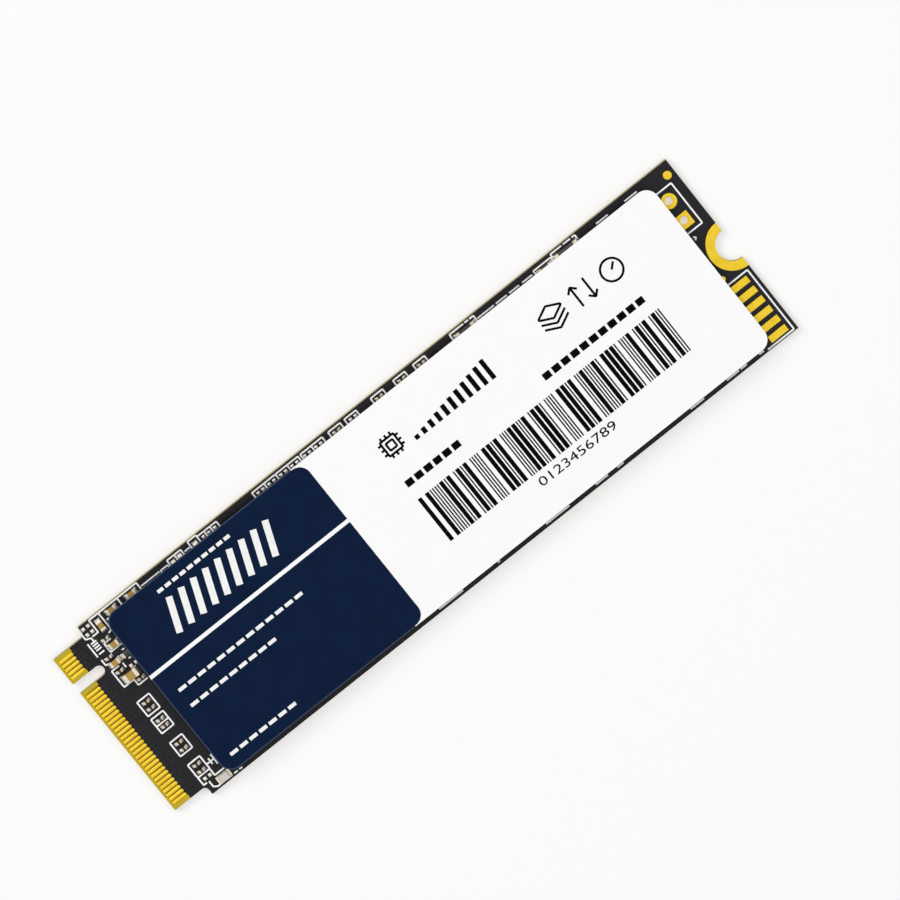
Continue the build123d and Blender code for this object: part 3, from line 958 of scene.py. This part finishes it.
lane_paths = [box_path(lane_left, lane_right, top, bottom) for top, bottom in lane_rows]
lane_paths += [
    line_path((lane_left, -2.0), (lane_right, -2.0)),
    line_path((lane_left, -8.75), (lane_left, -9.72), (-35.7, -9.72)),
    line_path((-34.6, -8.75), (-34.6, -9.62), (-33.4, -9.62)),
    line_path((-34.07, -7.82), (-34.07, -8.57)),
    line_path((-33.63, -7.63), (-33.63, -8.87)),
    line_path((-34.5, -8.22), (-33.63, -8.22)),
    line_path((-35.45, -9.72), (-35.45, -10.45), (-35.05, light_line), (-33.2, light_line)),
    line_path((-32.95, light_line), (-32.5, light_line)),
    line_path((-32.3, light_line), (-31.9, light_line)),
]
print("lane paths:", len(lane_paths))

# %% Outlines in the key corner
short_bar_left, short_bar_right = -36.02, -35.35
short_bar_rows = (8.82, 8.53, 8.24, 7.95, 7.5)

corner_paths = [
    line_path((-35.4, 9.35), (-34.67, 9.35), (-34.67, 10.89), (-28.55, 10.89), (-28.55, 9.9)),
    line_path((-33.46, 10.85), (-33.46, 8.75), (-33.9, 8.6)),
    line_path((-31.05, 10.89), (-31.05, 9.9)),
    line_path((-33.2, 9.8), (-32.4, 9.8)),
    line_path((-36.15, 10.35), (-36.15, 9.55), (-35.6, 9.3), (-35.6, 8.7)),
    line_path((-36.3, 9.05), (-36.3, 7.35)),
]
corner_paths += [line_path((short_bar_left, y), (short_bar_right, y)) for y in short_bar_rows]
corner_paths += [
    line_path((-34.1, 8.05), (-34.95, 8.05), (-34.95, 6.95), (-33.5, 6.95)),
    line_path((-36.2, 6.9), (-36.2, 6.2), (-35.82, 6.1), (-35.82, 5.65)),
    line_path(
        (-35.15, 5.33), (-36.12, 5.33), (-36.12, 3.27), (-34.86, 3.27), (-34.86, 2.54), (-33.69, 2.54)),
    line_path((-34.7, 5.35), (-34.7, 4.75)),
    line_path((-33.95, 6.41), (-33.65, 6.41)),
    line_path((-33.95, 5.31), (-33.65, 5.31)),
]
print("corner paths:", len(corner_paths))

# %% Outlines along the key side
row_low = 9.7
row_boxes = {
    10.7: [
        (-24.73, -23.8), (-23.8, -22.95), (-20.84, -19.95), (-19.95, -19.2), (-19.2, -18.35),
        (-13.72, -12.2), (-12.2, -10.7), (-10.7, -9.2), (-9.2, -7.8), (-7.5, -6.1), (-6.1, -4.67),
        (-3.9, -2.35), (-1.8, -0.28), (1.6, 3.15), (4.5, 6.0), (7.06, 8.55),
    ],
    10.9: [(-21.93, -20.84)],
    10.52: [(22.5, 24.75)],
    10.3: [(-25.85, -24.95)],
}
broken_top = 10.78
broken_boxes = [
    ((11.85, 13.65), (13.8, 14.28), (14.42, 14.95)),
    ((24.9, 26.32), (26.51, 27.45), (27.64, 28.05)),
]

key_side_paths = []
for top, boxes in row_boxes.items():
    key_side_paths += [line_path((a, row_low), (a, top), (b, top), (b, row_low)) for a, b in boxes]
for left, middle, right in broken_boxes:
    key_side_paths += [
        line_path((left[0], row_low), (left[0], broken_top), (left[1], broken_top)),
        line_path((middle[0], broken_top), (middle[1], broken_top)),
        line_path((right[0], broken_top), (right[1], broken_top), (right[1], row_low)),
    ]
print("key side paths:", len(key_side_paths))

# %% Dashes along both edges, and outlines at the far end
edge_dashes = {
    10.3: [
        (-28.35, -26.0), (-22.75, -22.0), (15.1, 17.25), (17.5, 18.9), (19.2, 20.5), (20.9, 22.2),
        (30.45, 31.95), (34.1, 35.68),
    ],
    -10.63: [
        (-6.3, -3.2), (1.3, 1.6), (7.55, 10.6), (14.0, 15.6), (16.8, 17.6), (26.3, 28.05), (31.0, 32.6),
        (32.8, 33.6), (35.2, 35.8),
    ],
}
far_paths = []
for y, spans in edge_dashes.items():
    far_paths += [line_path((a, y), (b, y)) for a, b in spans]
far_paths += [
    line_path((36.4, 8.8), (38.95, 8.8), (38.95, 3.63), (36.4, 3.63)),
    line_path((36.2, -3.05), (39.57, -3.05), (39.57, -10.8), (36.2, -10.8)),
    line_path((37.3, 3.05), (37.55, 2.85), (37.3, 2.65)),
]
print("dashes and far paths:", len(far_paths))

# %% Print the outlines
outline_width = 0.17
outline_thickness = 0.02
outline_corner = 0.08

outline_paths = lane_paths + corner_paths + key_side_paths + far_paths
outline_sizes = (outline_width, outline_thickness, outline_corner)
lay_ribbons("printed_outlines", "label_white", white_ink, outline_paths, board_top, *outline_sizes)

# %% [markdown]
# ### Rounded solder on bare pads
# Solder that melts on a pad with no part pulls itself into a low dome. The domes could be placed by hand,
# but then they would stay behind when a pad moves. So the pads are found in the frame: loose islands of
# the pad node that are square and of the bare pads' size. The tree copies one dome to each.

# %% Islands of a node
same_point = 0.0003 * MM


def merge_points(work):
    bmesh.ops.remove_doubles(work, verts=work.verts, dist=same_point)


def islands(node_name):
    """Low and high corners of each separate solid in a node."""
    work = bmesh.new()
    work.from_mesh(nodes[node_name].data)
    merge_points(work)
    left = set(work.verts)
    found = []
    while left:
        reach = [left.pop()]
        corners = []
        while reach:
            vert = reach.pop()
            corners.append(vert.co.copy())
            for edge in vert.link_edges:
                other = edge.other_vert(vert)
                if other in left:
                    left.remove(other)
                    reach.append(other)
        low = Vector(min(corner[axis] for corner in corners) for axis in range(3))
        high = Vector(max(corner[axis] for corner in corners) for axis in range(3))
        found.append((low, high))
    work.free()
    return sorted(found, key=lambda pair: tuple(pair[0]))


pad_islands = islands("solder_pads")
print("pads:", len(pad_islands))

# %% Find the bare pads
bare_pad_side = 0.38 * MM
same_size = 0.01 * MM

bare_tops = []
for low, high in pad_islands:
    size = high - low
    if abs(size.x - bare_pad_side) < same_size and abs(size.y - bare_pad_side) < same_size:
        bare_tops.append(((low.x + high.x) / 2, (low.y + high.y) / 2, high.z))
print("bare pads:", len(bare_tops))

# %% Copies on points
def lay_copies(name, slot, material, points, shape_mesh):
    """Piece of one shape, copied to each point."""
    tree, given = geometry_tree(name + "_tree", [("Shape", "Object")])
    end_tree(tree, copies_on(tree, given["Geometry"], given["Shape"]), material)
    seed = bpy.data.meshes.new("seed")
    seed.from_pydata(points, [], [])
    pattern = new_object(name + "_pattern", shape_mesh)
    grown = grow(name, seed, tree, {"Shape": pattern})
    bpy.data.objects.remove(pattern)
    keep_piece(name, grown, slot)


print("points to copy to:", len(bare_tops))

# %% Grow the domes
dome_height = 0.07 * MM
dome_steps = 12
dome_squareness = 4.0
dome_profile = [(1.0, 0.0), (0.97, 0.35), (0.85, 0.68), (0.6, 0.9), (0.3, 0.98), (0.1, 1.0)]

dome_rings = []
for reach, rise in dome_profile:
    dome_rings.append(round_ring(bare_pad_side / 2 * reach, rise * dome_height, dome_steps, dome_squareness))
lay_copies("solder_domes", "solder", finishes["solder"], bare_tops, ring_stack("dome", dome_rings))

# %% [markdown]
# ### Covered tracks and holes
# Copper tracks run from the contacts under the black coating. They show only as faint ridges, with a
# small raised ring where a plated hole goes through. A bump in the board's material could draw them, but
# it would leave the mesh flat. As ribbons and rings they are real ridges, which catch the light from any
# side. Behind the contacts of both faces every third track ends in a hole.

# %% Covered hole shape
hole_radius = 0.19 * MM
hole_height = 0.02 * MM
hole_steps = 12
hole_profile = [(1.0, 0.0), (0.85, 1.0), (0.6, 1.0), (0.35, 0.35)]


def hole_mesh(faces_up):
    """Raised ring with a dip in the middle, as the coating leaves it over a plated hole."""
    rings = [round_ring(hole_radius * reach, rise * hole_height, hole_steps) for reach, rise in hole_profile]
    mesh = ring_stack("covered_hole", rings)
    if not faces_up:
        turn_over(mesh)
    return mesh


print("hole faces:", len(hole_mesh(True).polygons))

# %% Grow tracks and holes behind the contacts
track_width = 0.14
track_thickness = 0.012
upper_lengths = (0.55, 0.85, 0.65)
lower_lengths = (6.0, 9.5, 4.0)
length_with_hole = 1


def lay_tracks(name, node_name, start_x, level, lengths, faces_up):
    """A track behind each contact, and a covered hole at the end of every third one."""
    rows = sorted((low.y + high.y) / 2 for low, high in islands(node_name))
    start = (start_x + bare_margin) / MM
    paths, points = [], []
    for index, y in enumerate(rows):
        turn_of = index % len(lengths)
        stop = start + lengths[turn_of]
        paths.append(line_path((start, y / MM), (stop, y / MM)))
        if turn_of == length_with_hole:
            points.append((stop * MM, y, level))
    copper = copper_above if faces_up else copper_below
    base = level if faces_up else level - track_thickness * MM
    lay_ribbons(name + "_tracks", "board", copper, paths, base, track_width, track_thickness)
    lay_copies(name + "_holes", "board", copper, points, hole_mesh(faces_up))


lay_tracks("covered_upper", "edge_contacts_top", fingers_high.x, board_top, upper_lengths, True)
lay_tracks("covered_lower", "edge_contacts_bottom", lower_fingers_high.x, board_low.z, lower_lengths, False)

# %% [markdown]
# The lower face carries no parts, so more of the copper shows there: holes in rows under the chips and
# along the edges, and bundles of tracks from chip to chip. Their places follow the boxes of the chips, so
# that they go along when a chip is moved.

# %% Holes under the chips and along the edges
chips = ["controller_chip", "flash_memory_a", "flash_memory_b"]
chip_inset = 1.0 * MM
hole_spacing = 1.3 * MM
edge_inset = 0.7 * MM
edge_reach = 33.0 * MM
edge_spacing = 2.2 * MM


def even_places(low, high, spacing):
    """Places from low to high, as near to a spacing as divides evenly."""
    steps = max(1, round((high - low) / spacing))
    return [low + (high - low) * step / steps for step in range(steps + 1)]


lower_points = []
for chip in chips:
    low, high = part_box(chip)
    columns = even_places(low.x + chip_inset, high.x - chip_inset, hole_spacing)
    rows = even_places(low.y + chip_inset, high.y - chip_inset, hole_spacing)
    lower_points += [(x, y, board_low.z) for x in columns for y in rows]
for x in even_places(-edge_reach, edge_reach, edge_spacing):
    lower_points += [(x, side * (board_high.y - edge_inset), board_low.z) for side in (-1, 1)]
lay_copies("covered_chip_holes", "board", copper_below, lower_points, hole_mesh(False))

# %% Bundles of tracks from chip to chip
bundle_count = 11
bundle_spacing = 0.4
bundle_step = 1.2
bundle_overlap = 0.8


def bundle_below(near_chip, far_chip):
    """Parallel tracks from one chip to the next, with a sloped step half way."""
    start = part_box(near_chip)[1].x / MM - bundle_overlap
    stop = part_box(far_chip)[0].x / MM + bundle_overlap
    bend = (start + stop - bundle_step) / 2
    paths = []
    for index in range(bundle_count):
        y = (index - bundle_count / 2) * bundle_spacing
        moved = y + bundle_step
        paths.append(line_path((start, y), (bend, y), (bend + bundle_step, moved), (stop, moved)))
    return paths


bundle_paths = bundle_below(chips[0], chips[1]) + bundle_below(chips[1], chips[2])
bundle_base = board_low.z - track_thickness * MM
bundle_sizes = (track_width, track_thickness)
lay_ribbons("covered_bundles", "board", copper_below, bundle_paths, bundle_base, *bundle_sizes)

# %% [markdown]
# ## Print on the label
# The label carries plain signs and rows of bars: a chip, rising bars, stacked layers, two arrows and a
# gauge. The film's material could paint them, but a sign is easier to draw as a few paths, and its edges
# stay crisp. So they are ribbons again, of black ink on the film and of white ink on the blue field.

# %% Signs as paths
def chip_sign(x, y, half, leg, leg_count):
    """Square chip with legs on all four sides and a small square inside."""
    paths = [box_path(x - half, x + half, y - half, y + half)]
    paths.append(box_path(x - half / 2, x + half / 2, y - half / 2, y + half / 2))
    for index in range(leg_count):
        offset = half * (2 * (index + 0.5) / leg_count - 1)
        for side in (-1, 1):
            near, far = side * half, side * (half + leg)
            paths.append(line_path((x + offset, y + near), (x + offset, y + far)))
            paths.append(line_path((x + near, y + offset), (x + far, y + offset)))
    return paths


def layers_sign(x, y, half_width, half_height, drop, count):
    """Flat layers seen from a corner: a whole one on top, and the front edges of those below."""
    top = [(x - half_width, y), (x, y + half_height), (x + half_width, y), (x, y - half_height)]
    paths = [(top, True)]
    for level in range(1, count):
        low = y - level * drop
        paths.append(line_path((x - half_width, low), (x, low - half_height), (x + half_width, low)))
    return paths


def arrow_sign(x, tail, head, barb):
    back = head - math.copysign(barb, head - tail)
    return [line_path((x, tail), (x, head)), line_path((x - barb, back), (x, head), (x + barb, back))]


def gauge_sign(x, y, radius, steps):
    ring = [(x + dx, y + dy) for dx, dy, _ in round_ring(radius, 0.0, steps)]
    return [(ring, True), line_path((x, y), (x + radius / 2, y + radius / 2))]


print("paths of a chip with one leg a side:", len(chip_sign(0.0, 0.0, 1.0, 0.5, 1)))

# %% Black signs
ink_thickness = (ink_top - film_top) / MM
sign_line = 0.24
sign_corner = 0.1
sign_y = 5.85
chip_x, layers_x, up_arrow_x, down_arrow_x, gauge_x = 0.35, 21.2, 24.3, 25.9, 28.8
top_layer_y = sign_y + 0.55
arrow_low, arrow_high, arrow_barb = 4.7, 7.1, 0.55

sign_paths = chip_sign(chip_x, sign_y, half=0.85, leg=0.4, leg_count=3)
sign_paths += layers_sign(layers_x, top_layer_y, half_width=1.5, half_height=0.75, drop=0.6, count=3)
sign_paths += arrow_sign(up_arrow_x, arrow_low, arrow_high, arrow_barb)
sign_paths += arrow_sign(down_arrow_x, arrow_high, arrow_low, arrow_barb)
sign_paths += gauge_sign(gauge_x, sign_y, radius=1.2, steps=24)
sign_sizes = (sign_line, ink_thickness, sign_corner)
lay_ribbons("label_signs", "label_ink", black_ink, sign_paths, film_top, *sign_sizes)

# %% Rising bars
bar_count = 11
bar_width = 0.5
bar_foot = 4.6
first_bar_x, bar_spacing = 2.9, 0.98
first_bar_height, bar_rise = 0.5, 0.19

rising_paths = []
for index in range(bar_count):
    x = first_bar_x + bar_spacing * index
    rising_paths.append(line_path((x, bar_foot), (x, bar_foot + first_bar_height + bar_rise * index)))
lay_ribbons("label_rising_bars", "label_ink", black_ink, rising_paths, film_top, bar_width, ink_thickness)

# %% Rows of dashes
dash_width = 0.75
dash_length, dash_gap = 0.9, 0.3
dash_rows = [(-1.0, 5.95, 1.7), (16.6, 30.1, 1.5)]    # start, stop, and place across the label


def dashes(start, stop, y, length, gap):
    """Dashes of one length from one end of a row to the other, at a place across the label."""
    count = int((stop - start + gap) / (length + gap))
    lefts = [start + index * (length + gap) for index in range(count)]
    return [line_path((left, y), (left + length, y)) for left in lefts]


dash_paths = []
for start, stop, y in dash_rows:
    dash_paths += dashes(start, stop, y, dash_length, dash_gap)
lay_ribbons("label_dashes", "label_ink", black_ink, dash_paths, film_top, dash_width, ink_thickness)

# %% [markdown]
# White ink on the blue field is printed over the blue, in slanted stripes and in rows of small bars. It
# could be left out of the blue, as the white stripe across the label is, but a second layer of ink needs
# no cut in the solid below.

# %% White stripes on the blue field
white_thickness = 0.004
stripe_count = 9
stripe_width = 0.7
stripe_foot = (-28.2, 4.3)
stripe_top = 7.9
stripe_lean = 1.4
stripe_spacing = 1.55

stripe_paths = []
for index in range(stripe_count):
    x = stripe_foot[0] + index * stripe_spacing
    stripe_paths.append(line_path((x, stripe_foot[1]), (x + stripe_lean, stripe_top)))
lay_ribbons("field_stripes", "label_white", white_ink, stripe_paths, ink_top, stripe_width, white_thickness)

# %% Small white bars on the blue field
small_width = 0.38
small_rows = [
    (-27.4, -17.9, 8.95, 0.7, 0.25), (-32.0, -15.8, -0.3, 0.95, 0.3),
    (-32.0, -20.2, -2.3, 0.95, 0.3), (-32.0, -22.7, -8.75, 0.95, 0.3),
]

small_paths = []
for row in small_rows:
    small_paths += dashes(*row)
lay_ribbons("field_small_bars", "label_white", white_ink, small_paths, ink_top, small_width, white_thickness)

# %% [markdown]
# Counting digits stand under the bars of the code. Ribbons could draw them, but a text object has their
# shapes ready. It is made a mesh first, and its doubled points are merged. Only then is it stretched and
# moved, so that its place is in the mesh, as with every other piece.

# %% Counting digits under the code
digit_height = 1.4 * MM
digit_steps = 5
digit_place = Vector((9.6, -7.2, 0.0)) * MM
digit_row_length = 9.8 * MM


def clean_text(mesh):
    """Join the faces of a text along their edges, and keep those edges sharp."""
    work = bmesh.new()
    work.from_mesh(mesh)
    merge_points(work)
    bmesh.ops.dissolve_degenerate(work, edges=work.edges, dist=same_point)
    work.to_mesh(mesh)
    work.free()
    mesh.shade_flat()


def make_digits():
    """Digits as a text, made a mesh before they are put in their place."""
    curve = bpy.data.curves.new("digits", "FONT")
    curve.body = "0123456789"
    curve.size = digit_height
    curve.resolution_u = digit_steps
    curve.extrude = (ink_top - film_top) / 2
    mesh = plain_mesh("label_digits", new_object("digits", curve))
    clean_text(mesh)
    length = max(vert.co.x for vert in mesh.vertices)
    stretch = Matrix.Diagonal((digit_row_length / length, 1.0, 1.0, 1.0))
    place = Matrix.Translation(digit_place + Vector((0.0, 0.0, (film_top + ink_top) / 2)))
    mesh.transform(place @ stretch)
    mesh.materials.clear()
    mesh.materials.append(black_ink)
    return mesh


keep_piece("label_digits", make_digits(), "label_ink")
